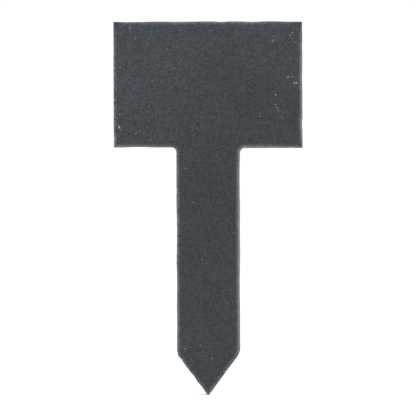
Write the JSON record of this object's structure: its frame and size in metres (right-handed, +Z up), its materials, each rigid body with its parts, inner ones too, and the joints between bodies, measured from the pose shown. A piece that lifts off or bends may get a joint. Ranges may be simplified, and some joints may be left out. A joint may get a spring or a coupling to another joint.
{
  "type": "plant label stake",
  "caption": "Flat T-shaped slate plant label: a wide writing head on a straight stem with a pointed foot that is pushed into the soil.",
  "frame": {"origin": "the tip of the pointed foot, in the middle of the label's width and of its thickness (the point is cut 0.2 mm off that middle)", "axes": "+Z up along the stem from the tip to the top of the head, +X across the label to the right as seen from the front, +Y through the thickness from the writing face to the back"},
  "size_m": [0.075, 0.0044, 0.1482],
  "materials": {
    "slate": "matt riven natural slate, dark blue-grey, with paler dusty arrises"
  },
  "bodies": {
    "root": {"slate_stake": "slate"}
  },
  "joints": []
}
